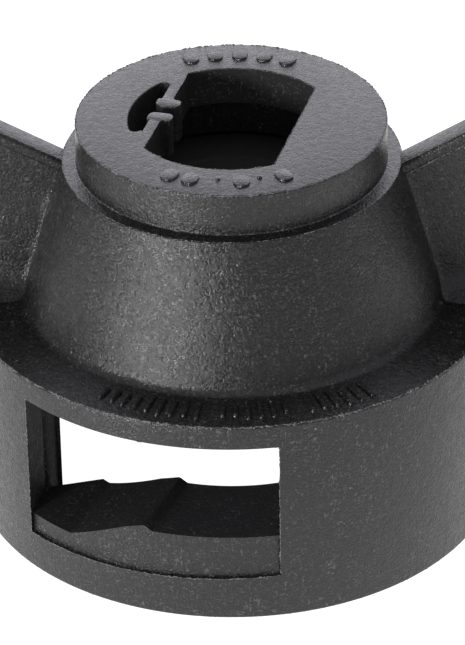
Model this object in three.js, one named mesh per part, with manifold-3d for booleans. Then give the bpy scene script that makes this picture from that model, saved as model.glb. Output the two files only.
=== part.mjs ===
// Quarter-turn wing cap for a spray nozzle: a conical moulded cap with two wings, two side windows over
// its locking ramps, a keyed outlet hole with two sprung fingers, and the rubber seat gasket inside it.
// Millimetres. Z is the cap's axis and points out of the outlet. The open rim lies in the plane Z = 0.
// X runs through the wings. Azimuths are in degrees, from the -Y side, positive towards +X.
import * as THREE from 'three';
import { mergeVertices } from 'three/addons/utils/BufferGeometryUtils.js';
import Module from 'manifold-3d';

const wasm = await Module();
wasm.setup();

// Driving dimensions of the cap's outside.
const SKIRT_R = 17;
const RIM_CHAMFER = 0.15;
const SHOULDER_LEDGE_Z = 14.1;
const CONE_FOOT_R = 13.4;
const CONE_TOP_R = 10.6;
const CONE_TOP_Z = 23.2;
const COLLAR_R = 9.7;
const TOP_Z = 25.9;
const COLLAR_CHAMFER = 0.25;

// Inside: the lug socket, the neck above it, the gasket pocket and the recess for the spray tip's flange.
const SOCKET_R = 13.2;
const SOCKET_TOP_Z = 12.55;
const NECK_FOOT_R = 11.5;
const NECK_TOP_R = 10.5;
const NECK_TOP_Z = 16.4;
const POCKET_R = 9.3;
const POCKET_TOP_Z = 20.5;
const FLANGE_R = 7.8;
const FLANGE_TOP_Z = 23.4;

// Side windows. Both walls of a window run along the line in which the mould's side core is drawn out.
const WINDOW_LEFT_AZIMUTH = -49.6;
const WINDOW_RIGHT_AZIMUTH = 8.7;
const DRAW_AZIMUTH = -23;
const WINDOW_SILL_Z = 3.08;
const WINDOW_SILL_SLOPE = 0.028;
const WINDOW_POCKET_R = 15.05;
const WINDOW_POCKET_LEFT_AZIMUTH = -54.4;
const WINDOW_POCKET_RIGHT_AZIMUTH = 19;

// Locking ramps, one under each window. The side core forms their top, so it is a profile drawn along the
// core's draw: [distance to the right of the axis, height], joined by straight slopes.
const RAMP_PROFILE = [[-18, 4.0], [-4.4, 4.0], [-0.4, 5.9], [0.9, 6.3], [1.3, 5.95], [18, 5.95]];
const RAMP_INNER_R = 11.2;
const RAMP_FACE_R = 16.8;
const RAMP_FOOT_Z = 0.6;
const RAMP_END_INNER_AZIMUTH = -49.3;
const RAMP_END_OUTER_AZIMUTH = -59;
const STOP_AZIMUTH = 33;
const STOP_END_AZIMUTH = 66;

// Wings, as an outline in the plane of Z and the distance from the axis.
const WING_FOOT_R = 16.6;
const WING_RISE_ANGLE = 29;
const WING_TIP_RADIUS = 3.4;
const WING_TIP_R = 21.5;
const WING_TIP_START_ANGLE = -12;
const WING_SWEEP = 3;
const WING_FOOT_THICKNESS = 3.2;
const WING_TAPER = 0.115;
const WING_EMBED = 0.9;
const WING_SINK = 0.4;
const WING_OFFSET = -0.55;

// Outlet hole: a circle with two flats, turned round the axis. The flats lie this far from the axis.
const HOLE_R = 6.45;
const FLAT_TURN = -16;
const RIGHT_FLAT = 4.1;
const LEFT_FLAT = 4.15;

// The curved slot behind the left flat has rounded ends. The fingers' roots lie at these distances along the
// flat from its middle.
const SLOT_R = 6.42;
const SLOT_END_R = 0.38;
const SLOT_END_INSET = 0.33;
const FRONT_ROOT = -3.05;
const REAR_ROOT = 3.35;

// Sprung fingers that form the left flat. They meet at a slit near its middle, each with a long rounded head.
const ROOT_GAP = 0.3;
const FINGER_THICKNESS = 0.72;
const SLIT = 0.7;
const SLIT_CENTRE = 0.1;
const HEAD_R = 0.5;
const HEAD_BACK = 5.1;
const HEAD_NOSE = 3.52;
const FINGER_FOOT_Z = 23.4;

// Seat gasket.
const GASKET_R = 9.0;
const GASKET_BORE_R = 5.0;
const GASKET_FOOT_Z = 17.2;
const GASKET_TOP_Z = 20.2;
const GASKET_CHAMFER = 0.3;

const AROUND = 96;
const MARGIN = 1;

const capPlastic = new THREE.MeshStandardMaterial({ color: 0x2c2d2f, roughness: 0.5, metalness: 0 });
const fingerPlastic = new THREE.MeshStandardMaterial({ color: 0x303133, roughness: 0.5, metalness: 0 });
const gasketRubber = new THREE.MeshStandardMaterial({ color: 0x111111, roughness: 0.8, metalness: 0 });

const radians = THREE.MathUtils.degToRad;

// The point at an azimuth and a distance from the axis.
function around(azimuth, r) {
  return new THREE.Vector2(r * Math.sin(radians(azimuth)), -r * Math.cos(radians(azimuth)));
}

function toSolid(geometry) {
  const bare = geometry.clone();
  bare.deleteAttribute('normal');
  bare.deleteAttribute('uv');
  const merged = mergeVertices(bare, 1e-5);
  const vertProperties = Float32Array.from(merged.attributes.position.array);
  const triVerts = Uint32Array.from(merged.index.array);
  return new wasm.Manifold(new wasm.Mesh({ numProp: 3, vertProperties, triVerts }));
}

function toGeometry(solid) {
  const mesh = solid.getMesh();
  const geometry = new THREE.BufferGeometry();
  geometry.setAttribute('position', new THREE.BufferAttribute(mesh.vertProperties, 3));
  geometry.setIndex(new THREE.BufferAttribute(mesh.triVerts, 1));
  return geometry;
}

// A body turned round Z from a closed list of [distance from the axis, Z].
function turned(profile) {
  const points = profile.map(([r, z]) => new THREE.Vector2(r, z));
  points.push(points[0].clone());
  return new THREE.LatheGeometry(points, AROUND).rotateX(Math.PI / 2);
}

// A plane outline raised from one height to another.
function raised(shape, fromZ, toZ) {
  const settings = { depth: toZ - fromZ, bevelEnabled: false, curveSegments: 24 };
  return new THREE.ExtrudeGeometry(shape, settings).translate(0, 0, fromZ);
}

function shell() {
  return toSolid(turned([
    [0, TOP_Z], [0, FLANGE_TOP_Z], [FLANGE_R, FLANGE_TOP_Z], [FLANGE_R, POCKET_TOP_Z],
    [POCKET_R, POCKET_TOP_Z], [POCKET_R, NECK_TOP_Z], [NECK_TOP_R, NECK_TOP_Z], [NECK_FOOT_R, SOCKET_TOP_Z],
    [SOCKET_R, SOCKET_TOP_Z], [SOCKET_R, 0], [SKIRT_R - RIM_CHAMFER, 0], [SKIRT_R, RIM_CHAMFER],
    [SKIRT_R, SHOULDER_LEDGE_Z], [CONE_FOOT_R, SHOULDER_LEDGE_Z], [CONE_TOP_R, CONE_TOP_Z],
    [COLLAR_R, CONE_TOP_Z], [COLLAR_R, TOP_Z - COLLAR_CHAMFER], [COLLAR_R - COLLAR_CHAMFER, TOP_Z],
  ]));
}

// The sector of a ring between two radii. Its end at the lower azimuth may lie askew.
function ringSector({ innerFrom, outerFrom, to, innerR, outerR }) {
  const angle = (azimuth) => radians(azimuth - 90);
  const sector = new THREE.Shape();
  sector.absarc(0, 0, outerR, angle(outerFrom), angle(to), false);
  sector.absarc(0, 0, innerR, angle(to), angle(innerFrom), true);
  return sector;
}

// The slot through the skirt that the side core leaves. Its walls are parallel and its floor slopes a little.
function windowSlot() {
  const draw = around(DRAW_AZIMUTH, 1);
  const left = around(WINDOW_LEFT_AZIMUTH, SKIRT_R);
  const right = around(WINDOW_RIGHT_AZIMUTH, SKIRT_R);
  const outward = (point) => point.clone().addScaledVector(draw, SKIRT_R / 2);
  const inward = (point) => point.clone().addScaledVector(draw, -SKIRT_R / 4);
  const outline = new THREE.Shape([outward(left), outward(right), inward(right), inward(left)]);
  const geometry = raised(outline, 0, SOCKET_TOP_Z);
  const position = geometry.attributes.position;
  for (let i = 0; i < position.count; i += 1) {
    if (position.getZ(i) < SOCKET_TOP_Z / 2) {
      position.setZ(i, WINDOW_SILL_Z + WINDOW_SILL_SLOPE * (position.getX(i) - right.x));
    }
  }
  return toSolid(geometry);
}

// The wider pocket behind the slot, where a lug lies when the cap is locked.
function windowPocket() {
  const sector = ringSector({
    innerFrom: WINDOW_POCKET_LEFT_AZIMUTH,
    outerFrom: WINDOW_POCKET_LEFT_AZIMUTH,
    to: WINDOW_POCKET_RIGHT_AZIMUTH,
    innerR: SOCKET_R - MARGIN,
    outerR: WINDOW_POCKET_R,
  });
  return toSolid(raised(sector, WINDOW_SILL_Z, SOCKET_TOP_Z));
}

// A locking ramp: a ring sector under the profile of its top.
function lockingRamp() {
  const profile = new THREE.Shape(RAMP_PROFILE.map(([x, z]) => new THREE.Vector2(x, z)));
  profile.lineTo(RAMP_PROFILE.at(-1)[0], RAMP_FOOT_Z);
  profile.lineTo(RAMP_PROFILE[0][0], RAMP_FOOT_Z);
  const drawn = new THREE.ExtrudeGeometry(profile, { depth: 2 * SKIRT_R, bevelEnabled: false });
  drawn.rotateX(Math.PI / 2).rotateZ(radians(DRAW_AZIMUTH));
  const sector = ringSector({
    innerFrom: RAMP_END_INNER_AZIMUTH,
    outerFrom: RAMP_END_OUTER_AZIMUTH,
    to: STOP_AZIMUTH + MARGIN,
    innerR: RAMP_INNER_R,
    outerR: RAMP_FACE_R,
  });
  return toSolid(drawn).intersect(toSolid(raised(sector, 0, SOCKET_TOP_Z)));
}

// The block that a lug turns against, from the ramp's far end to the next entry channel.
function lugStop() {
  const sector = ringSector({
    innerFrom: STOP_AZIMUTH,
    outerFrom: STOP_AZIMUTH,
    to: STOP_END_AZIMUTH,
    innerR: RAMP_INNER_R,
    outerR: SOCKET_R + MARGIN,
  });
  return toSolid(raised(sector, RAMP_FOOT_Z, SOCKET_TOP_Z + MARGIN));
}

// A wing rises outwards from the cone's top edge, rounds over at its tip and runs back to the skirt.
// Each wing stands a little to one side of the axis, so that the two lie on opposite sides of it.
function wing() {
  const rise = radians(WING_RISE_ANGLE);
  const footR = CONE_FOOT_R - WING_EMBED;
  const headR = CONE_TOP_R - WING_EMBED;
  const headZ = CONE_TOP_Z - WING_EMBED * Math.tan(rise);
  const tipTopX = WING_TIP_R - WING_TIP_RADIUS * Math.sin(rise);
  const tipCentreZ = headZ + (tipTopX - headR) * Math.tan(rise) - WING_TIP_RADIUS * Math.cos(rise);
  const footZ = SHOULDER_LEDGE_Z - WING_SINK;
  const tipStart = radians(WING_TIP_START_ANGLE);
  const outline = new THREE.Shape();
  outline.moveTo(footR, footZ);
  outline.lineTo(WING_FOOT_R, footZ);
  outline.quadraticCurveTo(
    WING_TIP_R, footZ + WING_SWEEP,
    WING_TIP_R + WING_TIP_RADIUS * Math.cos(tipStart), tipCentreZ + WING_TIP_RADIUS * Math.sin(tipStart),
  );
  outline.absarc(WING_TIP_R, tipCentreZ, WING_TIP_RADIUS, tipStart, Math.PI / 2 + rise, false);
  outline.lineTo(headR, headZ);
  const settings = { depth: 1, bevelEnabled: false, curveSegments: 10 };
  const geometry = new THREE.ExtrudeGeometry(outline, settings).translate(0, 0, -0.5).rotateX(Math.PI / 2);
  const position = geometry.attributes.position;
  for (let i = 0; i < position.count; i += 1) {
    const thickness = WING_FOOT_THICKNESS - WING_TAPER * (position.getZ(i) - SHOULDER_LEDGE_Z);
    position.setY(i, position.getY(i) * thickness);
  }
  return toSolid(geometry.translate(0, WING_OFFSET, 0));
}

// Outlines round the hole are drawn with X across the flats, then turned into place.
function acrossFlats(shape, fromZ, toZ) {
  return raised(shape, fromZ, toZ).rotateZ(radians(FLAT_TURN));
}

// The centre of a slot end, which touches the slot's outer wall from inside. side is -1 or 1.
function slotEnd(root, side) {
  const y = root - side * SLOT_END_INSET;
  return new THREE.Vector2(-Math.sqrt((SLOT_R - SLOT_END_R) ** 2 - y ** 2), y);
}

// The hole's outline goes right round the slot behind the fingers.
function outletHole() {
  const halfRight = Math.sqrt(HOLE_R ** 2 - RIGHT_FLAT ** 2);
  const halfLeft = Math.sqrt(HOLE_R ** 2 - LEFT_FLAT ** 2);
  const rear = slotEnd(REAR_ROOT, 1);
  const front = slotEnd(FRONT_ROOT, -1);
  const entry = Math.asin(SLOT_END_INSET / SLOT_END_R);
  const rightAngle = Math.atan2(halfRight, RIGHT_FLAT);
  const leftAngle = Math.atan2(halfLeft, -LEFT_FLAT);
  const outline = new THREE.Shape();
  outline.moveTo(RIGHT_FLAT, -halfRight);
  outline.lineTo(RIGHT_FLAT, halfRight);
  outline.absarc(0, 0, HOLE_R, rightAngle, leftAngle, false);
  outline.lineTo(-LEFT_FLAT, REAR_ROOT);
  outline.absarc(rear.x, rear.y, SLOT_END_R, entry, rear.angle(), false);
  outline.absarc(0, 0, SLOT_R, rear.angle(), front.angle(), false);
  outline.absarc(front.x, front.y, SLOT_END_R, front.angle(), 2 * Math.PI - entry, false);
  outline.lineTo(-LEFT_FLAT, FRONT_ROOT);
  outline.lineTo(-LEFT_FLAT, -halfLeft);
  outline.absarc(0, 0, HOLE_R, 2 * Math.PI - leftAngle, 2 * Math.PI - rightAngle, false);
  return toSolid(acrossFlats(outline, FLANGE_TOP_Z - MARGIN, TOP_Z + MARGIN));
}

function capBody() {
  let body = shell();
  for (const turn of [0, 180]) {
    body = body.subtract(windowSlot().rotate([0, 0, turn]));
    body = body.subtract(windowPocket().rotate([0, 0, turn]));
    body = body.add(lockingRamp().rotate([0, 0, turn]));
    body = body.add(lugStop().rotate([0, 0, turn]));
    body = body.add(wing().rotate([0, 0, turn]));
  }
  return toGeometry(body.subtract(outletHole()));
}

// A finger: a strip along the left flat, from its root to a head beside the slit. side is -1 or 1.
function springFinger(root, side) {
  const headY = SLIT_CENTRE + side * (SLIT / 2 + HEAD_R);
  const endY = root - side * ROOT_GAP;
  const strip = new THREE.Shape([
    new THREE.Vector2(-LEFT_FLAT, endY),
    new THREE.Vector2(-LEFT_FLAT, headY),
    new THREE.Vector2(-LEFT_FLAT - FINGER_THICKNESS, headY),
    new THREE.Vector2(-LEFT_FLAT - FINGER_THICKNESS, endY),
  ]);
  const head = new THREE.Shape();
  head.absarc(-HEAD_BACK + HEAD_R, headY, HEAD_R, Math.PI / 2, 1.5 * Math.PI, false);
  head.absarc(-HEAD_NOSE - HEAD_R, headY, HEAD_R, 1.5 * Math.PI, 2.5 * Math.PI, false);
  const pieces = [strip, head].map((shape) => toSolid(acrossFlats(shape, FINGER_FOOT_Z, TOP_Z)));
  return toGeometry(pieces[0].add(pieces[1]));
}

function seatGasket() {
  return turned([
    [GASKET_BORE_R, GASKET_FOOT_Z], [GASKET_R - GASKET_CHAMFER, GASKET_FOOT_Z],
    [GASKET_R, GASKET_FOOT_Z + GASKET_CHAMFER], [GASKET_R, GASKET_TOP_Z - GASKET_CHAMFER],
    [GASKET_R - GASKET_CHAMFER, GASKET_TOP_Z], [GASKET_BORE_R, GASKET_TOP_Z],
  ]);
}

function named(name, geometry, material) {
  const mesh = new THREE.Mesh(geometry, material);
  mesh.name = name;
  return mesh;
}

const group = new THREE.Group();
group.add(named('cap_body', capBody(), capPlastic));
group.add(named('front_spring_finger', springFinger(FRONT_ROOT, -1), fingerPlastic));
group.add(named('rear_spring_finger', springFinger(REAR_ROOT, 1), fingerPlastic));
group.add(named('seat_gasket', seatGasket(), gasketRubber));

export default group;
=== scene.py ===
"""Quarter-turn wing cap for a spray nozzle: the fine surfaces, materials, floor, light and camera.

Lengths are in metres and azimuths in degrees, from the -Y side, positive towards +X, as in the CAD model.
The cap, its two sprung fingers and its gasket are remodelled here round the frame's bodies.
"""

import random
from math import acos, asin, atan2, cos, hypot, pi, radians, sin, sqrt, tan

import bmesh
import bpy
from mathutils import Matrix, Vector, noise

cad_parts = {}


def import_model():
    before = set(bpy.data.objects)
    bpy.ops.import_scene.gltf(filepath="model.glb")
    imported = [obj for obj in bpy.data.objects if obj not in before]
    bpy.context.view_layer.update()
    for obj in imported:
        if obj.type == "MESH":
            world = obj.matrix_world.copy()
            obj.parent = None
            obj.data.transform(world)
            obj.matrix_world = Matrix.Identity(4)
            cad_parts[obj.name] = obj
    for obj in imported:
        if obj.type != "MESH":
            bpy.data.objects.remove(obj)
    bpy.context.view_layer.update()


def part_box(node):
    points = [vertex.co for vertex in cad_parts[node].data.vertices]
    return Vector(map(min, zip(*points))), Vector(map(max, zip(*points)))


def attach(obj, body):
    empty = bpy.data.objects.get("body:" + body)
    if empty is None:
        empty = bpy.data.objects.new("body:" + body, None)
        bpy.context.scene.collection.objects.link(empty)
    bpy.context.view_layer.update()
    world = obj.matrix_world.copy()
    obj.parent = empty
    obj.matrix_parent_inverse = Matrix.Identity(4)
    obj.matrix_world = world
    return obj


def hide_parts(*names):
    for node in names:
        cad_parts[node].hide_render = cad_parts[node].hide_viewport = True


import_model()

MM = 0.001

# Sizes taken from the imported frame. The fingers are as tall as the flange that the outlet hole goes through.
_, CAP_HIGH = (Vector(corner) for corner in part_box("cap_body"))
FINGER_LOW, FINGER_HIGH = (Vector(corner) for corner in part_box("front_spring_finger"))
GASKET_LOW, GASKET_HIGH = (Vector(corner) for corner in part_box("seat_gasket"))
SKIRT_R = CAP_HIGH.y
TOP_Z = FINGER_HIGH.z
FLANGE_TOP_Z = FINGER_LOW.z

# Outside of the cap.
LEDGE_Z = 14.1 * MM
CONE_FOOT_R = 13.4 * MM
CONE_TOP_R = 10.6 * MM
CONE_TOP_Z = 23.2 * MM
COLLAR_R = 9.7 * MM

# Inside of the cap.
SOCKET_R = 13.2 * MM
SOCKET_TOP_Z = 12.55 * MM
NECK_FOOT_R = 11.5 * MM
NECK_TOP_R = 10.5 * MM
NECK_TOP_Z = 16.4 * MM
POCKET_R = 9.3 * MM
POCKET_TOP_Z = 20.5 * MM
FLANGE_R = 7.8 * MM

# Windows and locking ramps.
WINDOW_LEFT = -49.6
WINDOW_RIGHT = 8.7
DRAW = -23.0
SILL_Z = 3.08 * MM
SILL_SLOPE = 0.028
WINDOW_POCKET_R = 15.05 * MM
POCKET_LEFT = -54.4
POCKET_RIGHT = 19.0
# The ramp's top edge along the draw: (X, Z, corner radius) in mm.
RAMP = [
    (-18, 4.0, 0), (-4.4, 4.0, 0.5), (-0.4, 5.9, 0.6),
    (0.85, 6.3, 0.25), (1.35, 5.95, 0.25), (18, 5.95, 0),
]
RAMP_INNER_R = 11.2 * MM
RAMP_FACE_R = 16.8 * MM
RAMP_FOOT_Z = 0.6 * MM
RAMP_END_INNER = -49.3
RAMP_END_OUTER = -59.0
STOP = 33.0
STOP_END = 66.0
STOP_OVERLAP = 1.0

# Wings.
WING_RISE = radians(29)
WING_TIP_RADIUS = 3.4 * MM
WING_TIP_X = 21.5 * MM
WING_FOOT_X = 16.6 * MM
WING_TIP_START = radians(-12)
WING_SWEEP = 3.0 * MM
WING_TAPER = 0.115
WING_EMBED = 0.9 * MM
WING_SINK = 0.4 * MM
WING_OFFSET = -0.55 * MM
WING_RIM = 0.8 * MM
WING_RIM_HALF = 0.95 * MM
WING_PLATE_HALF = 0.5 * MM
WING_PLATE_Z = 21 * MM
WING_FOOT_FILLET = 1.5 * MM
WING_CONE_FILLET = 0.07 * MM
WING_FILLET_FADE = 2 * MM
WING_FLARE = 0.5
WING_PLATE_INSET = 0.25 * MM
WING_END_ROUND = 0.9 * MM
WING_END_SHARE = 0.2
WING_RIM_ROUND = 0.24 * MM
WING_STEPS = 14

# Outlet hole, the slot behind its left flat and the sprung fingers, with X across the flats before the turn.
HOLE_R = 6.45 * MM
FLAT_TURN = radians(-16)
RIGHT_FLAT = 4.1 * MM
LEFT_FLAT = 4.15 * MM
SLOT_R = 6.42 * MM
SLOT_END_R = 0.38 * MM
SLOT_END_INSET = 0.33 * MM
FRONT_ROOT = -3.05 * MM
REAR_ROOT = 3.35 * MM
HINGE_INSET = 0.15 * MM
ROOT_SEAM = 0.01 * MM
FINGER_THICK = 0.72 * MM
SLIT_CENTRE = 0.03 * MM
SLIT = 0.82 * MM
HEAD_BACK = 5.1 * MM
HEAD_NOSE = 3.52 * MM
HEAD_LENGTH = 0.95 * MM
HOLE_EDGE = 0.05 * MM
FINGER_EDGE = 0.06 * MM
HOLE_STEPS = 40
END_STEPS = 10

# Seat gasket: a ring with a low lip round each edge of its lower face.
GASKET_BORE_R = 5.0 * MM
GASKET_LIP = 1.2 * MM
GASKET_LIP_SLOPE = 0.3 * MM
GASKET_LIP_HEIGHT = 0.12 * MM

# Raised marks on the top face: (azimuth, distance from the axis, width, length), the last three in mm.
TOP_MARKS = [(175.5 + 11.2 * k, 8.1, 1.0, 1.3) for k in range(-2, 3)]
TOP_MARKS += [(azimuth, 8.0, 1.05, 1.4) for azimuth in (-28, -18.5, 4, 23)]
TOP_MARKS += [(azimuth, 7.7, 0.35, 0.35) for azimuth in (-6.5, 12.5)]
TOP_MARK_HEIGHT = 0.14 * MM

# Row of ticks on the ledge, with gaps in the row.
TICK_COUNT = 23
TICK_GAPS = (9, 16)
TICK_START = -31.5
TICK_STEP = 2.85
TICK_R = 15.25
TICK_STRAY = 0.12
TICK_WIDTH = 0.36 * MM
TICK_LENGTHS = (1.9, 1.9, 1.3)
TICK_HEIGHT = 0.2 * MM
MARK_SEED = 5

# How far a mark's foot is sunk, how its sides lean, and the share of its height where its top starts.
MARK_SINK = 0.1 * MM
MARK_LEAN = 0.35
MARK_SHOULDER = 0.85

# Pale flash along the edges, partly painted highlights where the edges catch light: how quickly it swells and
# fades, its least share, and how far it strays and twists.
BURR_HIGHLIGHT_SLOW = 0.09
BURR_HIGHLIGHT_QUICK = 0.4
BURR_HIGHLIGHT_LEAST = 0.1
BURR_HIGHLIGHT_STRAY = 0.35
BURR_HIGHLIGHT_TWIST = 0.3
BURR_HIGHLIGHT_SEED = 11

# Points round a turned body.
AROUND = 288

# Edges sharper than this many degrees stay sharp.
SHARP_ANGLE = 32

# Plastic: noise scales per metre, the tones of its pale fibres and specks, and the depth of its grain.
GRAIN = 6500
COARSE = 1900
CLOUD = 330
PATCH = 900
SPECK = 6400
FLECK = 2600
FIBRES = ((6800, 6800, 2300), (2300, 6800, 6800), (6800, 2300, 5600))
FIBRE_TONE = (0.10, 0.10, 0.092)
SPECK_TONE = (0.09, 0.09, 0.083)
FLECK_TONE = (0.2, 0.2, 0.185)
GRAIN_DEPTH = 0.06 * MM

# Rubber: its grain's scale per metre and depth.
RUBBER_GRAIN = 2500
RUBBER_DEPTH = 0.04 * MM

# Light of the studio's white walls, in front of the object and behind it, and where it changes.
SKY_FRONT_LOW = 0.28
SKY_FRONT_HIGH = 0.6
SKY_BACK = 2.3
SKY_RISE = (0.05, 0.55)
SKY_DEPTH = (0.4, 0.9)
SKY_TINT = (0.985, 0.975, 1.05, 1)

# White light table that it stands on. Its surface lies a hair below the cap's rim, which is at zero.
FLOOR_HALF = 1.2
FLOOR_DROP = 0.01 * MM
FLOOR_TONES = ((0.28, 0.28, 0.28), (0.3, 0.3, 0.3))
FLOOR_GLOW = 1.05

# Round lamp at the front left, which makes the highlight down the cone.
LAMP_PLACE = (-0.305, -0.33, 0.08)
LAMP_AIM = (0, 0, 0.02)
LAMP_SIZE = 0.075
LAMP_POWER = 1.7

# Camera: it looks at a point on the axis, then turns a little away. Its angles are in degrees, and its lens
# is in mm on a 36 mm sensor.
CAMERA_DISTANCE = 0.25
CAMERA_AIM_Z = 13 * MM
CAMERA_RISE = 31.64
CAMERA_ROLL = -0.99
CAMERA_YAW = 0.0234
CAMERA_PITCH = -0.4014
CAMERA_LENS = 219.07
CAMERA_NEAR = 0.01


# ---------------------------------------------------------------- shapes

def around(azimuth, r, z=0.0):
    """The point at an azimuth in degrees and a distance from the axis."""
    a = radians(azimuth)
    return Vector((r * sin(a), -r * cos(a), z))


def rounded(corners, steps=4):
    """An outline of (x, y, radius) corners, closed, with each corner turned into an arc."""
    points = []
    count = len(corners)
    for i, (x, y, radius) in enumerate(corners):
        here = Vector((x, y))
        before = Vector(corners[i - 1][:2]) - here
        after = Vector(corners[(i + 1) % count][:2]) - here
        turn = before.angle(after)
        if radius <= 0 or turn > radians(179):
            points.append(here)
            continue
        reach = min(radius / tan(turn / 2), 0.49 * before.length, 0.49 * after.length)
        radius = reach * tan(turn / 2)
        centre = here + (before.normalized() + after.normalized()).normalized() * radius / sin(turn / 2)
        start = here + before.normalized() * reach - centre
        end = here + after.normalized() * reach - centre
        sweep = atan2(start.cross(end), start.dot(end))
        for k in range(steps + 1):
            points.append(centre + Matrix.Rotation(sweep * k / steps, 2) @ start)
    return points


def mesh_object(name, bm):
    """An object from a finished bmesh, with its faces turned outwards."""
    mesh = bpy.data.meshes.new(name)
    bmesh.ops.recalc_face_normals(bm, faces=bm.faces)
    bm.to_mesh(mesh)
    bm.free()
    obj = bpy.data.objects.new(name, mesh)
    bpy.context.scene.collection.objects.link(obj)
    return obj


def turned(name, profile, segments=AROUND):
    """A closed outline of (distance from the axis, Z) turned round Z. Points on the axis are shared."""
    bm = bmesh.new()
    rings = []
    for r, z in profile:
        if r < 1e-7:
            rings.append([bm.verts.new((0, 0, z))] * segments)
        else:
            rings.append([bm.verts.new(around(360 * k / segments, r, z)) for k in range(segments)])
    for low, high in zip(rings, rings[1:] + rings[:1]):
        for k in range(segments):
            ring = [low[k], low[(k + 1) % segments], high[(k + 1) % segments], high[k]]
            face = list(dict.fromkeys(ring))
            if len(face) > 2:
                bm.faces.new(face)
    return mesh_object(name, bm)


def lofted(name, rings):
    """A closed body through rings of points, each with as many points as the next."""
    bm = bmesh.new()
    levels = [[bm.verts.new(p) for p in ring] for ring in rings]
    bm.faces.new(levels[0])
    bm.faces.new(levels[-1])
    count = len(levels[0])
    for low, high in zip(levels, levels[1:]):
        for i in range(count):
            j = (i + 1) % count
            bm.faces.new((low[i], low[j], high[j], high[i]))
    return mesh_object(name, bm)


def raised(name, outline, low, high, moved=lambda p: p):
    """A plane outline raised from one height to another, with each point then moved."""
    return lofted(name, [[moved(Vector((p[0], p[1], z))) for p in outline] for z in (low, high)])


def normals(points, closed=True):
    """The unit normals of an outline, to its right as it is followed."""
    found = []
    for i, here in enumerate(points):
        before = points[i - 1] if closed or i else here
        after = points[(i + 1) % len(points)] if closed or i + 1 < len(points) else here
        along = (after - before).normalized()
        found.append(Vector((along.y, -along.x)))
    return found


def settle(obj):
    """Applies the modifiers."""
    graph = bpy.context.evaluated_depsgraph_get()
    mesh = bpy.data.meshes.new_from_object(obj.evaluated_get(graph))
    obj.modifiers.clear()
    old = obj.data
    obj.data = mesh
    mesh.name = obj.name
    bpy.data.meshes.remove(old)
    return obj


def combine(obj, other, operation):
    """Joins or cuts obj with other, and removes other."""
    step = obj.modifiers.new("combine", "BOOLEAN")
    step.operation = operation
    step.object = other
    step.solver = "MANIFOLD"
    settle(obj)
    mesh = other.data
    bpy.data.objects.remove(other)
    bpy.data.meshes.remove(mesh)
    return obj


def bevelled(obj, width, segments, angle):
    """Rounds the edges that are sharper than an angle in degrees."""
    step = obj.modifiers.new("bevel", "BEVEL")
    step.width = width
    step.segments = segments
    step.limit_method = "ANGLE"
    step.angle_limit = radians(angle)
    step.harden_normals = False
    step.use_clamp_overlap = True
    return settle(obj)


def half_turn(obj):
    """A copy of the object on the other side of the axis."""
    copy = obj.copy()
    copy.data = obj.data.copy()
    copy.data.transform(Matrix.Rotation(pi, 4, "Z"))
    bpy.context.scene.collection.objects.link(copy)
    return copy


# ---------------------------------------------------------------- the cap

def cap_shell():
    """The skirt, ledge, cone and collar with the room inside, closed at the top."""
    corner = 0.15 * MM
    profile = [
        (0, TOP_Z, 0),
        (0, FLANGE_TOP_Z, 0),
        (FLANGE_R, FLANGE_TOP_Z, corner),
        (FLANGE_R, POCKET_TOP_Z, corner),
        (POCKET_R, POCKET_TOP_Z, corner),
        (POCKET_R, NECK_TOP_Z, 0.3 * MM),
        (NECK_TOP_R, NECK_TOP_Z, 0.3 * MM),
        (NECK_FOOT_R, SOCKET_TOP_Z, 0.4 * MM),
        (SOCKET_R, SOCKET_TOP_Z, 0.3 * MM),
        (SOCKET_R, 0, 0.35 * MM),
        (SKIRT_R, 0, 0.18 * MM),
        (SKIRT_R, LEDGE_Z, 0.16 * MM),
        (CONE_FOOT_R, LEDGE_Z, 0.6 * MM),
        (CONE_TOP_R, CONE_TOP_Z, 0.13 * MM),
        (COLLAR_R, CONE_TOP_Z, 0.12 * MM),
        (COLLAR_R, TOP_Z, 0.14 * MM),
    ]
    return turned("cap_body_fine", [(p[0], p[1]) for p in rounded(profile)])


def ring_sector(inner_from, outer_from, to, inner_r, outer_r, step=1.0):
    """The outline of a ring's sector between two radii. Its first end may lie askew."""
    def arc(start, end, r):
        count = max(2, int(abs(end - start) / step))
        return [around(start + (end - start) * k / count, r) for k in range(count + 1)]

    return arc(outer_from, to, outer_r) + arc(to, inner_from, inner_r)


def window_slot():
    """The slot through the skirt, with both walls along the side core's draw and a slightly sloping floor."""
    draw = around(DRAW, 1).to_2d()
    left = around(WINDOW_LEFT, SKIRT_R).to_2d()
    right = around(WINDOW_RIGHT, SKIRT_R).to_2d()
    out, back = draw * SKIRT_R / 2, -draw * SKIRT_R / 4

    def sloped(p):
        return p if p.z > SILL_Z else Vector((p.x, p.y, SILL_Z + SILL_SLOPE * (p.x - right.x)))

    return raised("slot", [left + out, right + out, right + back, left + back], 0, SOCKET_TOP_Z, sloped)


def window_pocket():
    """The wider room behind the window, cut into the skirt from inside."""
    sector = ring_sector(POCKET_LEFT, POCKET_LEFT, POCKET_RIGHT, SOCKET_R - MM, WINDOW_POCKET_R)
    return raised("pocket", sector, SILL_Z, SOCKET_TOP_Z)


def locking_ramp():
    """A ring sector under a profile that runs along the side core's draw."""
    top = [tuple(p * MM) for p in rounded(RAMP)]
    profile = top + [(RAMP[-1][0] * MM, RAMP_FOOT_Z), (RAMP[0][0] * MM, RAMP_FOOT_Z)]
    turn = Matrix.Rotation(radians(DRAW), 3, "Z")
    drawn = raised("ramp", profile, -2 * SKIRT_R, 0, lambda p: turn @ Vector((p.x, p.z, p.y)))
    sector = ring_sector(RAMP_END_INNER, RAMP_END_OUTER, STOP + STOP_OVERLAP, RAMP_INNER_R, RAMP_FACE_R)
    return combine(drawn, raised("sector", sector, 0, SOCKET_TOP_Z), "INTERSECT")


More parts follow.
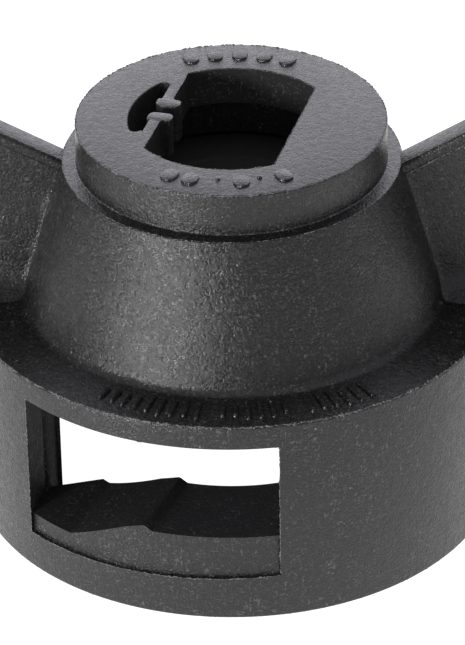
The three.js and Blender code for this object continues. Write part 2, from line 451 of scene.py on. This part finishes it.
def lug_stop():
    """The block that a lug runs against at the end of the ramp."""
    sector = ring_sector(STOP, STOP, STOP_END, RAMP_INNER_R, SOCKET_R + MM)
    return raised("stop", sector, RAMP_FOOT_Z, SOCKET_TOP_Z + MM)


def wing_outline(steps=WING_STEPS):
    """The wing's edge in the plane of X and Z, anticlockwise from its inner foot."""
    head_x, head_z = CONE_TOP_R - WING_EMBED, CONE_TOP_Z - WING_EMBED * tan(WING_RISE)
    foot_z = LEDGE_Z - WING_SINK
    tip_top_x = WING_TIP_X - WING_TIP_RADIUS * sin(WING_RISE)
    tip_z = head_z + (tip_top_x - head_x) * tan(WING_RISE) - WING_TIP_RADIUS * cos(WING_RISE)
    tip = Vector((WING_TIP_X, tip_z))
    arc_start = tip + WING_TIP_RADIUS * Vector((cos(WING_TIP_START), sin(WING_TIP_START)))
    start, pull = Vector((WING_FOOT_X, foot_z)), Vector((WING_TIP_X, foot_z + WING_SWEEP))
    edge = [Vector((CONE_FOOT_R - WING_EMBED, foot_z))]
    for k in range(steps):
        t = k / steps
        edge.append((1 - t) ** 2 * start + 2 * t * (1 - t) * pull + t * t * arc_start)
    for k in range(2 * steps + 1):
        a = WING_TIP_START + (pi / 2 + WING_RISE - WING_TIP_START) * k / (2 * steps)
        edge.append(tip + WING_TIP_RADIUS * Vector((cos(a), sin(a))))
    for k in range(1, steps + 1):
        t = k / steps
        edge.append(edge[3 * steps + 1] * (1 - t) + Vector((head_x, head_z)) * t)
    return edge


def span(edge, z):
    """Where an outline in the plane of X and Z is crossed at a height: its least and greatest X."""
    found = []
    for p, q in zip(edge, edge[1:] + edge[:1]):
        if (p.y - z) * (q.y - z) <= 0 and p.y != q.y:
            found.append(p.x + (q.x - p.x) * (z - p.y) / (q.y - p.y))
    return min(found), max(found)


def fillet(distance, radius):
    """How far a fillet stands out at a distance from the wall it runs into."""
    rest = min(max(radius - distance, 0), radius)
    return radius - sqrt(radius ** 2 - rest ** 2)


def wing_plate(columns=36, rows=48):
    """The wing inside its rim: thin at the top, thicker below, with fillets into the cone and the ledge."""
    edge = wing_outline()
    inner = [p - n * WING_PLATE_INSET for p, n in zip(edge, normals(edge))]
    low, high = min(p.y for p in inner), max(p.y for p in inner)
    front, back = [], []
    for j in range(rows + 1):
        z = low + (high - low) * (0.001 + 0.997 * j / rows)
        x0, x1 = span(inner, z)
        cone = CONE_FOOT_R + (CONE_TOP_R - CONE_FOOT_R) * (z - LEDGE_Z) / (CONE_TOP_Z - LEDGE_Z)
        near_top = min(max((CONE_TOP_Z - z) / WING_FILLET_FADE, 0), 1)
        for i in range(columns + 1):
            x = x0 + (x1 - x0) * (1 - cos(pi * i / columns)) / 2
            half = WING_PLATE_HALF + WING_TAPER * max(WING_PLATE_Z - z, 0)
            half += fillet(z - LEDGE_Z, WING_FOOT_FILLET)
            half += near_top * fillet(x - cone, WING_CONE_FILLET)
            foot = min(max(1 - (z - LEDGE_Z) / WING_FOOT_FILLET, 0), 1)
            half += WING_FLARE * max(x - CONE_FOOT_R, 0) * foot ** 2
            end = min((x1 - x) / WING_END_ROUND, 1)
            half *= WING_END_SHARE + (1 - WING_END_SHARE) * sqrt(1 - (1 - end) ** 2)
            front.append((x, WING_OFFSET - half, z))
            back.append((x, WING_OFFSET + half, z))
    bm = bmesh.new()
    width = columns + 1
    grids = [[bm.verts.new(p) for p in side] for side in (front, back)]
    for grid in grids:
        for k in range(rows * width):
            if k % width < columns:
                bm.faces.new((grid[k], grid[k + 1], grid[k + 1 + width], grid[k + width]))
    border = list(range(width)) + [j * width + columns for j in range(1, rows + 1)]
    border += [rows * width + i for i in range(columns - 1, -1, -1)]
    border += [j * width for j in range(rows - 1, 0, -1)]
    for p, q in zip(border, border[1:] + border[:1]):
        bm.faces.new((grids[0][p], grids[0][q], grids[1][q], grids[1][p]))
    return mesh_object("plate", bm)


def wing_rim():
    """The rounded band along the wing's outer and top edges."""
    chain = wing_outline()[1:]
    inner = [p - n * WING_RIM for p, n in zip(chain, normals(chain, closed=False))]

    def upright(p):
        return Vector((p.x, p.z * WING_RIM_HALF + WING_OFFSET, p.y))

    return bevelled(raised("rim", chain + inner[::-1], -1, 1, upright), WING_RIM_ROUND, 3, 40)


def slot_end(root, side):
    """The centre of a rounded end of the slot, which touches the slot's outer wall from inside."""
    y = root - side * SLOT_END_INSET
    return Vector((-sqrt((SLOT_R - SLOT_END_R) ** 2 - y ** 2), y))


def hinge_point(root, side):
    """The middle of a finger's round root."""
    return Vector((-LEFT_FLAT - FINGER_THICK / 2, root - side * HINGE_INSET))


def arc(centre, radius, start, end, steps):
    """Points along an arc in the plane, with its angles in radians."""
    return [centre + radius * Vector((cos(a), sin(a)))
            for a in (start + (end - start) * k / steps for k in range(steps + 1))]


def hole_outline():
    """The outlet hole with the slot behind the fingers, anticlockwise from the right flat's front end."""
    axis = Vector((0, 0))
    right_angle = acos(RIGHT_FLAT / HOLE_R)
    left_angle = pi - acos(LEFT_FLAT / HOLE_R)
    rear, front = slot_end(REAR_ROOT, 1), slot_end(FRONT_ROOT, -1)
    rear_angle, front_angle = atan2(rear.y, rear.x), atan2(front.y, front.x) + 2 * pi
    root_r = FINGER_THICK / 2 + ROOT_SEAM
    entry = asin((SLOT_END_INSET - HINGE_INSET) / SLOT_END_R)
    points = arc(axis, HOLE_R, right_angle, left_angle, HOLE_STEPS)
    points += arc(hinge_point(REAR_ROOT, 1), root_r, 0, pi, END_STEPS)
    points += arc(rear, SLOT_END_R, entry, rear_angle, END_STEPS)
    points += arc(axis, SLOT_R, rear_angle, front_angle, HOLE_STEPS)[1:-1]
    points += arc(front, SLOT_END_R, front_angle, 2 * pi - entry, END_STEPS)
    points += arc(hinge_point(FRONT_ROOT, -1), root_r, pi, 2 * pi, END_STEPS)
    points += arc(axis, HOLE_R, 2 * pi - left_angle, 2 * pi - right_angle, HOLE_STEPS)
    return points


def outlet_hole():
    """The cutter for the hole, slightly wider at the top face except at the fingers' roots."""
    outline = hole_outline()
    hinges = hinge_point(REAR_ROOT, 1), hinge_point(FRONT_ROOT, -1)
    wider = []
    for p, n in zip(outline, normals(outline)):
        at_root = min((p - hinge).length for hinge in hinges) < FINGER_THICK / 2 + 2 * ROOT_SEAM
        wider.append(p if at_root else p + n * 2 * HOLE_EDGE)
    rings = ((outline, FLANGE_TOP_Z - MM), (outline, TOP_Z - HOLE_EDGE), (wider, TOP_Z + HOLE_EDGE))
    return across_flats(lofted("hole", [[(p.x, p.y, z) for p in ring] for ring, z in rings]))


def across_flats(obj):
    """Turns a body from the axes of the hole's flats to the cap's."""
    obj.data.transform(Matrix.Rotation(FLAT_TURN, 4, "Z"))
    return obj


def pip(width, length, height, foot, azimuth):
    """A low raised mark with a rounded outline and sloping sides, on a level surface."""
    turned_foot = Matrix.Translation(foot) @ Matrix.Rotation(radians(azimuth), 4, "Z")
    lean = MARK_LEAN * height
    rings = []
    for shrink, up in ((0, -MARK_SINK), (0, 0), (lean, MARK_SHOULDER * height), (2 * lean, height)):
        a, b = width / 2 - shrink, length / 2 - shrink
        r = min(a, b) * 0.98
        outline = rounded([(-a, -b, r), (a, -b, r), (a, b, r), (-a, b, r)], 5)
        rings.append([turned_foot @ Vector((p.x, p.y, up)) for p in outline])
    return lofted("pip", rings)


def raised_marks():
    """Plain raised pips and dashes on the top face and on the ledge, in place of lettering."""
    chance = random.Random(MARK_SEED)
    marks = []
    for azimuth, r, width, length in TOP_MARKS:
        marks.append(pip(width * MM, length * MM, TOP_MARK_HEIGHT, around(azimuth, r * MM, TOP_Z), azimuth))
    for k in range(TICK_COUNT):
        if k in TICK_GAPS:
            continue
        azimuth = TICK_START + TICK_STEP * k
        foot = around(azimuth, (TICK_R + TICK_STRAY * chance.uniform(-1, 1)) * MM, LEDGE_Z)
        marks.append(pip(TICK_WIDTH, chance.choice(TICK_LENGTHS) * MM, TICK_HEIGHT, foot, azimuth))
    return marks


def cap_body():
    """The whole moulding: what the cap has twice is made once and repeated half a turn on."""
    body = cap_shell()
    for make, operation in (
        (window_slot, "DIFFERENCE"), (window_pocket, "DIFFERENCE"),
        (locking_ramp, "UNION"), (lug_stop, "UNION"), (wing_plate, "UNION"), (wing_rim, "UNION"),
    ):
        part = make()
        other = half_turn(part)
        combine(body, part, operation)
        combine(body, other, operation)
    combine(body, outlet_hole(), "DIFFERENCE")
    for mark in raised_marks():
        combine(body, mark, "UNION")
    return body


def finger(name, root, side):
    """A finger from its root beside the hole's corner to the head next to the slit. side is -1 or 1."""
    back = -LEFT_FLAT - FINGER_THICK
    tip = SLIT_CENTRE + side * SLIT / 2
    head = tip + side * HEAD_LENGTH
    beyond = root + side * MM
    outline = [
        (-LEFT_FLAT, beyond, 0), (-LEFT_FLAT, head, 0.28 * MM), (-HEAD_NOSE, head, 0.32 * MM),
        (-HEAD_NOSE, tip, 0.4 * MM), (-HEAD_BACK, tip, 0.45 * MM), (-HEAD_BACK, head, 0.4 * MM),
        (back, head, 0.1 * MM), (back, beyond, 0),
    ]
    obj = bevelled(raised(name, rounded(outline, 6), FLANGE_TOP_Z, TOP_Z), FINGER_EDGE, 2, 50)
    hinge = hinge_point(root, side)
    root_end = [Vector((p.x, hinge.y + side * (p.y - hinge.y)))
                for p in arc(hinge, FINGER_THICK / 2, 0, pi, END_STEPS)]
    room = [Vector((0, -side * MM)), Vector((0, hinge.y)), *root_end]
    room += [Vector((-HOLE_R, hinge.y)), Vector((-HOLE_R, -side * MM))]
    combine(obj, raised("room", room, 0, 2 * TOP_Z), "INTERSECT")
    return across_flats(obj)


def seat_gasket():
    """The ring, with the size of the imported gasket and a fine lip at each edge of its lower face."""
    low, high, outer = GASKET_LOW.z, GASKET_HIGH.z, GASKET_HIGH.x
    inner, soft, fine = GASKET_BORE_R, 0.35 * MM, 0.1 * MM
    lip, foot, raised_low = GASKET_LIP, GASKET_LIP + GASKET_LIP_SLOPE, low + GASKET_LIP_HEIGHT
    profile = [
        (inner, low, 0.3 * MM), (inner + lip, low, fine), (inner + foot, raised_low, fine),
        (outer - foot, raised_low, fine), (outer - lip, low, fine), (outer, low, soft),
        (outer, high, soft), (inner, high, 0.3 * MM),
    ]
    return turned("seat_gasket_fine", [(p[0], p[1]) for p in rounded(profile)], AROUND // 2)


def burr_and_highlight_thread(bm, path, size, chance, step=0.08 * MM, sides=5):
    """A ragged pale thread along a path, thick in places and almost gone in others: flash, and partly a
    painted highlight on the edge.
    """
    fine = []
    for p, q in zip(path, path[1:]):
        count = max(1, round((q - p).length / step))
        fine += [p.lerp(q, k / count) for k in range(count)]
    fine.append(path[-1])
    start = chance.uniform(0, 1000)
    rings = []
    for k, p in enumerate(fine):
        along = (fine[min(k + 1, len(fine) - 1)] - fine[max(k - 1, 0)]).normalized()
        side = along.orthogonal().normalized()
        other = along.cross(side)
        slow = noise.noise((start + BURR_HIGHLIGHT_SLOW * k, 0, 0))
        quick = noise.noise((start + BURR_HIGHLIGHT_QUICK * k, 9, 0))
        swell = max(0.35 + 0.8 * slow + 0.7 * quick, 0)
        r = size * (BURR_HIGHLIGHT_LEAST + (1 - BURR_HIGHLIGHT_LEAST) * swell * chance.uniform(0.4, 1.4))
        middle = p + size * BURR_HIGHLIGHT_STRAY * Vector([chance.uniform(-1, 1) for _ in range(3)])
        turns = [2 * pi * (m + chance.uniform(-BURR_HIGHLIGHT_TWIST, BURR_HIGHLIGHT_TWIST)) / sides for m in range(sides)]
        rings.append([bm.verts.new(middle + r * (cos(a) * side + sin(a) * other)) for a in turns])
    bm.faces.new(rings[0])
    bm.faces.new(rings[-1][::-1])
    for low, high in zip(rings, rings[1:]):
        for m in range(sides):
            bm.faces.new((low[m], low[(m + 1) % sides], high[(m + 1) % sides], high[m]))


def circle(r, z, start=0, end=360, step=1.5):
    """Points round the axis from one azimuth to another, about step degrees apart."""
    count = max(2, round((end - start) / step))
    return [around(start + (end - start) * k / count, r, z) for k in range(count + 1)]


def window_edge():
    """The outline of a window on the skirt's surface. The sill's left corner is there for both edges."""
    left, right = around(WINDOW_LEFT, SKIRT_R), around(WINDOW_RIGHT, SKIRT_R)
    sill = [Vector((p.x, p.y, SILL_Z + SILL_SLOPE * (p.x - right.x)))
            for p in circle(SKIRT_R, 0, WINDOW_LEFT, WINDOW_RIGHT)]
    top_left = Vector((left.x, left.y, SOCKET_TOP_Z))
    return [top_left, sill[0], *sill, *circle(SKIRT_R, SOCKET_TOP_Z, WINDOW_RIGHT, WINDOW_LEFT)]


def wing_rim_highlight_path():
    """The path of a painted highlight: the lower edge of the rim along the top of the wing's front, a little
    way in from each end.
    """
    top = wing_outline()[1 - WING_STEPS:]
    lower = [p - n * WING_RIM for p, n in zip(top, normals(top, closed=False))]
    return [Vector((p.x, WING_OFFSET - WING_RIM_HALF + 0.05 * MM, p.y + 0.1 * MM)) for p in lower]


def cap_burrs_and_highlights():
    """Pale flash and scuffs along the cap's edges, partly painted highlights on them, and a painted highlight
    under the +X wing's rim: paths just inside the edges, with a thickness in mm.
    """
    chance = random.Random(BURR_HIGHLIGHT_SEED)
    turn = Matrix.Rotation(FLAT_TURN, 3, "Z")
    hole = [turn @ Vector((p.x, p.y, TOP_Z - 0.03 * MM)) for p in hole_outline()]
    window = window_edge()
    half_way = Matrix.Rotation(pi, 3, "Z")
    runs = (
        (circle(SKIRT_R - 0.05 * MM, LEDGE_Z - 0.02 * MM), 0.12),
        (circle(COLLAR_R - 0.05 * MM, TOP_Z - 0.03 * MM), 0.075),
        (circle(CONE_TOP_R - 0.05 * MM, CONE_TOP_Z - 0.03 * MM), 0.07),
        (circle(COLLAR_R + 0.02 * MM, CONE_TOP_Z + 0.02 * MM), 0.06),
        (circle(SKIRT_R - 0.06 * MM, 0.08 * MM), 0.04),
        (hole[:HOLE_STEPS + 1], 0.045),
        (hole[-HOLE_STEPS - 1:] + hole[:1], 0.06),
        # A painted highlight under the +X wing's rim, drawn as a pale thread.
        (wing_rim_highlight_path(), 0.1),
        (window, 0.07),
        ([half_way @ p for p in window], 0.07),
    )
    bm = bmesh.new()
    for path, size in runs:
        burr_and_highlight_thread(bm, path, size * MM, chance)
    return mesh_object("cap_edge_burrs_and_highlights", bm)


# ---------------------------------------------------------------- materials

class Nodes:
    """Short calls for building one material's node tree, with noises in the object's own coordinates."""

    def __init__(self, name):
        self.material = bpy.data.materials.new(name)
        self.material.use_nodes = True
        self.tree = self.material.node_tree
        self.shader = self.tree.nodes["Principled BSDF"]
        self.place = self.add("ShaderNodeTexCoord").outputs["Object"]

    def add(self, kind, **settings):
        node = self.tree.nodes.new(kind)
        for key, value in settings.items():
            if hasattr(node, key):
                setattr(node, key, value)
            else:
                node.inputs[key.replace("_", " ").title()].default_value = value
        return node

    def join(self, source, target):
        self.tree.links.new(source, target)

    def math(self, operation, a, b=None, c=None, clamp=False):
        node = self.add("ShaderNodeMath", operation=operation, use_clamp=clamp)
        for i, value in enumerate((a, b, c)):
            if value is None:
                continue
            if isinstance(value, (int, float)):
                node.inputs[i].default_value = value
            else:
                self.join(value, node.inputs[i])
        return node.outputs[0]

    def noise(self, scale, detail=4.0, roughness=0.6):
        node = self.add("ShaderNodeTexNoise", scale=scale, detail=detail, roughness=roughness)
        self.join(self.place, node.inputs["Vector"])
        return node.outputs["Fac"]

    def streaks(self, scales, low, high):
        """Thin marks that run in several directions: the stretched noises' highest places."""
        found = 0.0
        for k, scale in enumerate(scales):
            stretch = self.add("ShaderNodeMapping")
            stretch.inputs["Scale"].default_value = scale
            stretch.inputs["Location"].default_value = (7.3 * k, 3.1 * k, 5.7 * k)
            stretch.inputs["Rotation"].default_value = (0.35 * k, 0.5 - 0.4 * k, 0.3 * k)
            self.join(self.place, stretch.inputs["Vector"])
            node = self.add("ShaderNodeTexNoise", scale=1.0, detail=1.0, roughness=0.4)
            self.join(stretch.outputs[0], node.inputs["Vector"])
            found = self.math("MAXIMUM", self.band(node.outputs["Fac"], low, high), found)
        return found

    def upward(self):
        """How far the surface faces up: the side cores left a rougher surface than the flat plates."""
        split = self.add("ShaderNodeSeparateXYZ")
        self.join(self.add("ShaderNodeNewGeometry").outputs["Normal"], split.inputs[0])
        return split.outputs["Z"]

    def relief(self, height, depth, strength=1.0):
        """Bumps the surface by a height. The strength is a number or a socket."""
        bump = self.add("ShaderNodeBump", distance=depth)
        self.join(height, bump.inputs["Height"])
        if isinstance(strength, float):
            bump.inputs["Strength"].default_value = strength
        else:
            self.join(strength, bump.inputs["Strength"])
        self.join(bump.outputs[0], self.shader.inputs["Normal"])

    def band(self, value, low, high, to_low=0.0, to_high=1.0):
        node = self.add("ShaderNodeMapRange")
        node.interpolation_type = "SMOOTHSTEP"
        for i, number in enumerate((low, high, to_low, to_high)):
            node.inputs[1 + i].default_value = number
        self.join(value, node.inputs[0])
        return node.outputs[0]

    def mix(self, share, a, b):
        node = self.add("ShaderNodeMix", data_type="RGBA")
        for socket, value in ((node.inputs[0], share), (node.inputs[6], a), (node.inputs[7], b)):
            if isinstance(value, tuple):
                socket.default_value = (*value, 1)
            elif isinstance(value, (int, float)):
                socket.default_value = value
            else:
                self.join(value, socket)
        return node.outputs[2]


def cap_plastic(name="cap_plastic", dark=0.002, pale=0.008, gloss=0.5, smoothest=0.22, roughest=0.34):
    """Dark satin moulded plastic: coarse grain, pale fibres, specks and flecks, and a cloudy gloss."""
    n = Nodes(name)
    grain = n.noise(GRAIN, 2, 0.75)
    coarse = n.noise(COARSE, 3, 0.65)
    cloud = n.math("MULTIPLY", n.noise(CLOUD, 2, 0.5), 0.35)
    patch = n.band(n.noise(PATCH, 3, 0.6), 0.42, 0.62, 0.15, 0.65)
    fibre = n.math("MULTIPLY", n.streaks(FIBRES, 0.63, 0.76), patch)
    speck = n.math("MULTIPLY", n.band(n.noise(SPECK, 1, 0.3), 0.68, 0.76), 0.45)
    fleck = n.math("MULTIPLY", n.band(n.noise(FLECK, 2, 0.5), 0.745, 0.79), 0.65)
    grained = n.band(grain, 0.35, 0.65)
    tone = n.mix(grained, (dark, dark, 1.06 * dark), (pale, pale, 1.03 * pale))
    tone = n.mix(cloud, tone, (pale, pale, pale))
    tone = n.mix(fibre, tone, FIBRE_TONE)
    tone = n.mix(speck, tone, SPECK_TONE)
    tone = n.mix(fleck, tone, FLECK_TONE)
    n.join(tone, n.shader.inputs["Base Color"])
    satin = n.band(coarse, 0.3, 0.7, smoothest, roughest)
    satin = n.math("ADD", satin, n.band(grain, 0.35, 0.65, -0.06, 0.06))
    n.join(satin, n.shader.inputs["Roughness"])
    height = n.math("ADD", grain, n.math("MULTIPLY", coarse, 0.9))
    n.relief(height, GRAIN_DEPTH, n.band(n.upward(), 0.6, 0.95, 1.0, 0.7))
    n.shader.inputs["Specular IOR Level"].default_value = gloss
    return n.material


def gasket_rubber():
    """Matt black rubber with a fine even grain."""
    n = Nodes("gasket_rubber")
    grain = n.noise(RUBBER_GRAIN, 4)
    n.join(n.mix(grain, (0.008, 0.008, 0.008), (0.02, 0.02, 0.02)), n.shader.inputs["Base Color"])
    n.join(n.band(grain, 0.3, 0.7, 0.7, 0.85), n.shader.inputs["Roughness"])
    n.relief(grain, RUBBER_DEPTH, 0.2)
    return n.material


def line_inside(obj, material):
    """Gives the faces inside the socket, the outlet and the windows' sides the duller inside material."""
    obj.data.materials.append(material)
    for face in obj.data.polygons:
        x, y, z = face.center
        r = hypot(x, y)
        sideways = abs(x * face.normal.y - y * face.normal.x) / max(r, MM)
        in_socket = r < RAMP_FACE_R - 0.2 * MM and z < SOCKET_TOP_Z + 0.1 * MM
        in_outlet = r < POCKET_R + 0.1 * MM and z < TOP_Z - 1.2 * HOLE_EDGE
        in_jamb = r < SKIRT_R - 0.3 * MM and z < LEDGE_Z and sideways > 0.9
        face.material_index = 1 if in_socket or in_outlet or in_jamb else 0


def smooth(obj):
    """Shades the faces smoothly between the sharp edges."""
    for face in obj.data.polygons:
        face.use_smooth = True
    obj.data.set_sharp_from_angle(angle=radians(SHARP_ANGLE))


# ---------------------------------------------------------------- floor, light, camera

def floor():
    """A pale plain light table, which keeps the ground and what shows through the windows white."""
    bm = bmesh.new()
    bmesh.ops.create_grid(bm, x_segments=8, y_segments=8, size=FLOOR_HALF)
    obj = mesh_object("floor", bm)
    obj.location.z = -FLOOR_DROP
    n = Nodes("floor_white")
    n.join(n.mix(n.noise(30, 3), *FLOOR_TONES), n.shader.inputs["Base Color"])
    n.shader.inputs["Roughness"].default_value = 0.9
    n.shader.inputs["Specular IOR Level"].default_value = 0.1
    n.shader.inputs["Emission Color"].default_value = (1, 1, 1, 1)
    n.shader.inputs["Emission Strength"].default_value = FLOOR_GLOW
    obj.data.materials.append(n.material)


def world():
    """A white studio: brightest behind the object, dim just above the table in front of it."""
    scene_world = bpy.data.worlds.new("studio")
    bpy.context.scene.world = scene_world
    scene_world.use_nodes = True
    tree = scene_world.node_tree
    sky = tree.nodes["Background"]
    sky.inputs["Color"].default_value = SKY_TINT
    split = tree.nodes.new("ShaderNodeSeparateXYZ")
    tree.links.new(tree.nodes.new("ShaderNodeTexCoord").outputs["Generated"], split.inputs[0])

    def ramp(axis, start, end, low, high):
        node = tree.nodes.new("ShaderNodeMapRange")
        node.interpolation_type = "SMOOTHSTEP"
        for i, number in enumerate((start, end, low, high)):
            node.inputs[1 + i].default_value = number
        tree.links.new(split.outputs[axis], node.inputs[0])
        return node

    front = ramp("Z", *SKY_RISE, SKY_FRONT_LOW, SKY_FRONT_HIGH)
    sky_light = ramp("Y", *SKY_DEPTH, 0, SKY_BACK)
    tree.links.new(front.outputs[0], sky_light.inputs["To Min"])
    tree.links.new(sky_light.outputs[0], sky.inputs["Strength"])


def lamp():
    """The round lamp, turned towards the cap."""
    data = bpy.data.lights.new("strip", "AREA")
    data.shape = "DISK"
    data.size = LAMP_SIZE
    data.energy = LAMP_POWER
    obj = bpy.data.objects.new("strip", data)
    obj.location = LAMP_PLACE
    obj.rotation_euler = (Vector(LAMP_AIM) - Vector(LAMP_PLACE)).to_track_quat("-Z", "Y").to_euler()
    bpy.context.scene.collection.objects.link(obj)


def camera():
    """Looks along +Y from above the front window, a quarter of a metre away, with a slight roll."""
    rise, roll = radians(CAMERA_RISE), radians(CAMERA_ROLL)
    back = Vector((0, -cos(rise), sin(rise)))
    level, above = Vector((1, 0, 0)), Vector((0, sin(rise), cos(rise)))
    right, up = cos(roll) * level + sin(roll) * above, cos(roll) * above - sin(roll) * level
    aside = Matrix.Rotation(radians(CAMERA_YAW), 3, "Y") @ Matrix.Rotation(radians(CAMERA_PITCH), 3, "X")
    turn = Matrix((right, up, back)).transposed() @ aside
    data = bpy.data.cameras.new("photo_camera")
    data.lens = CAMERA_LENS
    data.clip_start = CAMERA_NEAR
    eye = bpy.data.objects.new("photo_camera", data)
    stand = Vector((0, 0, CAMERA_AIM_Z)) + CAMERA_DISTANCE * back
    eye.matrix_world = Matrix.Translation(stand) @ turn.to_4x4()
    bpy.context.scene.collection.objects.link(eye)
    bpy.context.scene.camera = eye


# ---------------------------------------------------------------- assembly

def add_piece(obj, body, node, material, inside=None):
    """Gives a piece its materials, and puts it on its body in its node's place."""
    obj.data.materials.clear()
    obj.data.materials.append(material)
    if inside:
        line_inside(obj, inside)
    smooth(obj)
    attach(obj, body)
    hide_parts(node)


camera()
plastic = cap_plastic()
inside = cap_plastic("cap_plastic_inside", dark=0.018, pale=0.02, gloss=0.06, smoothest=0.5, roughest=0.6)
# Pale material of the edge threads: flash, with painted highlights along the edges and under one wing's rim.
flash_and_highlight = cap_plastic("cap_plastic_burr_and_highlight", dark=0.03, pale=0.16, gloss=0.4, smoothest=0.45, roughest=0.55)
add_piece(cap_body(), "cap", "cap_body", plastic, inside)
add_piece(cap_burrs_and_highlights(), "cap", "cap_body", flash_and_highlight)
add_piece(finger("front_finger_fine", FRONT_ROOT, -1),
          "front_finger", "front_spring_finger", plastic, inside)
add_piece(finger("rear_finger_fine", REAR_ROOT, 1),
          "rear_finger", "rear_spring_finger", plastic, inside)
add_piece(seat_gasket(), "gasket", "seat_gasket", gasket_rubber())
floor()
world()
lamp()
bpy.context.scene.view_settings.view_transform = "Standard"
